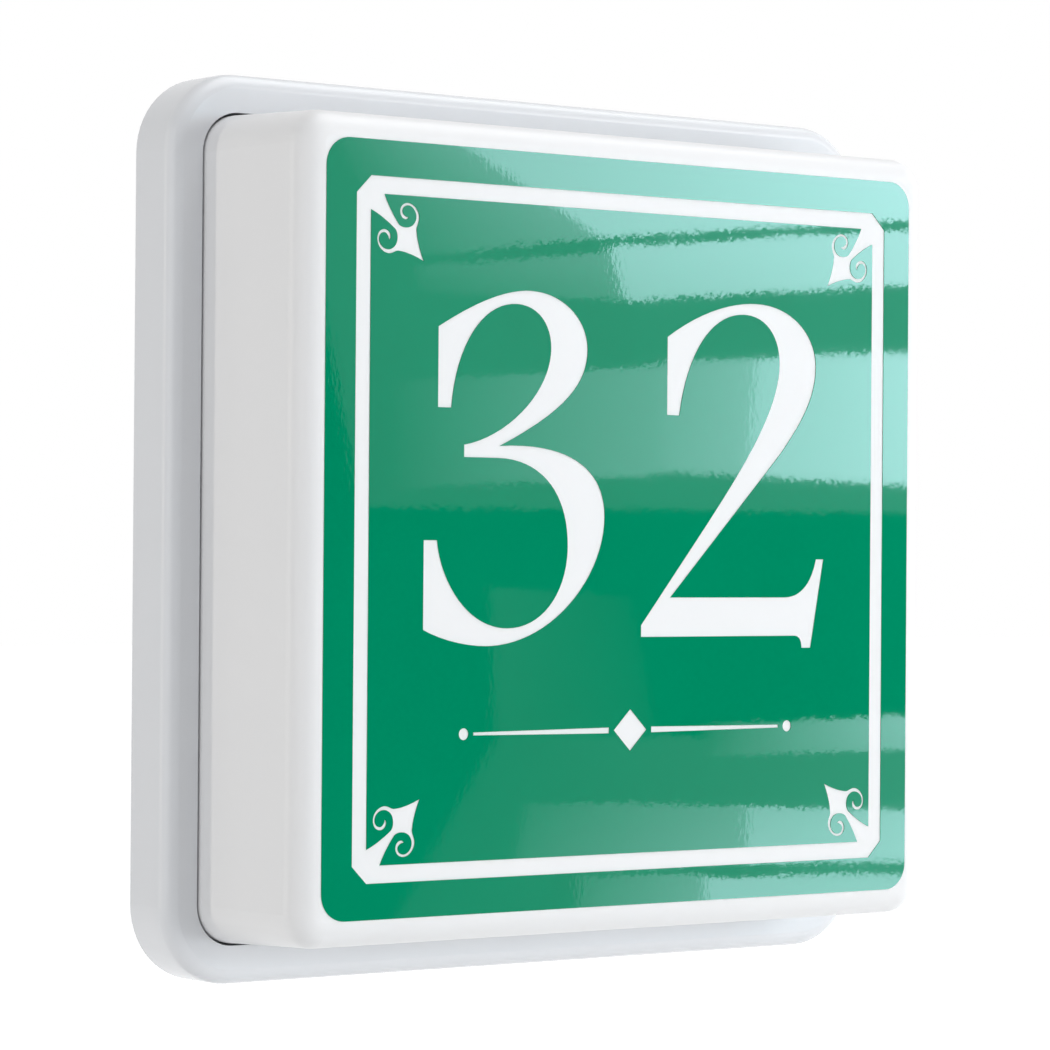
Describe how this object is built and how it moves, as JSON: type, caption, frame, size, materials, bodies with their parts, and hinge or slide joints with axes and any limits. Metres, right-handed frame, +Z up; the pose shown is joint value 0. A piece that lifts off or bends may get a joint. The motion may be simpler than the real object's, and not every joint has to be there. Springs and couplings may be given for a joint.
{
  "type": "illuminated house number sign",
  "caption": "Square wall-mounted illuminated house number sign: rimmed housing, lift-off opal cover with a cut-out green film, lamp bars on a gear tray, power supply and lever terminals.",
  "frame": {"origin": "middle of the flat back of the housing, on the wall", "axes": "+X right seen from the front, +Y into the wall (the front faces -Y), +Z up"},
  "size_m": [0.275, 0.0693, 0.275],
  "materials": {
    "housing_plastic": "smooth semi-gloss white moulding",
    "opal_plastic": "glossy opal white diffuser",
    "green_film": "glossy green vinyl film",
    "seal_rubber": "matte dark rubber",
    "grommet_rubber": "matte grey-black rubber",
    "foam": "closed-cell foam",
    "spring_steel": "bright spring steel",
    "screw_zinc": "zinc plated",
    "brass": "plain brass",
    "tray_paint": "white powder coat",
    "supply_plastic": "fine textured white case",
    "terminal_plastic": "light grey moulding",
    "lever_plastic": "orange moulding",
    "connector_plastic": "cream moulding",
    "board": "white solder mask",
    "phosphor": "yellow lamp chip",
    "lens_plastic": "clear moulded lens",
    "wire_brown": "wire sleeve",
    "wire_blue": "wire sleeve",
    "wire_green": "wire sleeve",
    "wire_red": "wire sleeve",
    "wire_black": "wire sleeve",
    "wire_white": "wire sleeve"
  },
  "bodies": {
    "housing": {"back_housing": "housing_plastic", "wall_seal": "foam", "cover_seal": "seal_rubber", "cover_clip_right": "spring_steel", "cover_clip_top": "spring_steel", "cover_clip_left": "spring_steel", "cover_clip_bottom": "spring_steel", "cable_grommet": "grommet_rubber", "wall_screw_washers": "grommet_rubber", "gear_tray": "tray_paint", "tray_screws": "screw_zinc", "bar_screws": "screw_zinc", "power_supply_screws": "screw_zinc", "earth_screw": "brass", "power_supply": "supply_plastic", "terminal_block": "terminal_plastic", "live_wire": "wire_brown", "neutral_wire": "wire_blue", "earth_wire": "wire_green", "earth_lug": "brass", "lamp_wire_plus": "wire_red", "lamp_wire_minus": "wire_black", "lamp_link_wires": "wire_white", "wire_connectors": "connector_plastic", "lamp_bar_1": "board", "lamp_chips_1": "phosphor", "lamp_lenses_1": "lens_plastic", "lamp_bar_2": "board", "lamp_chips_2": "phosphor", "lamp_lenses_2": "lens_plastic", "lamp_bar_3": "board", "lamp_chips_3": "phosphor", "lamp_lenses_3": "lens_plastic", "lamp_bar_4": "board", "lamp_chips_4": "phosphor", "lamp_lenses_4": "lens_plastic"},
    "cover": {"opal_cover": "opal_plastic", "film_margin": "green_film", "film_field": "green_film"},
    "live_lever_body": {"live_lever": "lever_plastic"},
    "neutral_lever_body": {"neutral_lever": "lever_plastic"},
    "earth_lever_body": {"earth_lever": "lever_plastic"}
  },
  "joints": [
    {"name": "cover_lift", "type": "slide", "parent": "housing", "child": "cover", "axis": [0, -1, 0], "range_m": [0, 0.08]},
    {"name": "live_lever_turn", "type": "hinge", "parent": "housing", "child": "live_lever_body", "pos_m": [-0.0316, -0.0125, -0.05], "axis": [-1, 0, 0], "range_deg": [0, 85]},
    {"name": "neutral_lever_turn", "type": "hinge", "parent": "housing", "child": "neutral_lever_body", "pos_m": [-0.022, -0.0125, -0.05], "axis": [-1, 0, 0], "range_deg": [0, 85]},
    {"name": "earth_lever_turn", "type": "hinge", "parent": "housing", "child": "earth_lever_body", "pos_m": [-0.0124, -0.0125, -0.05], "axis": [-1, 0, 0], "range_deg": [0, 85]}
  ]
}
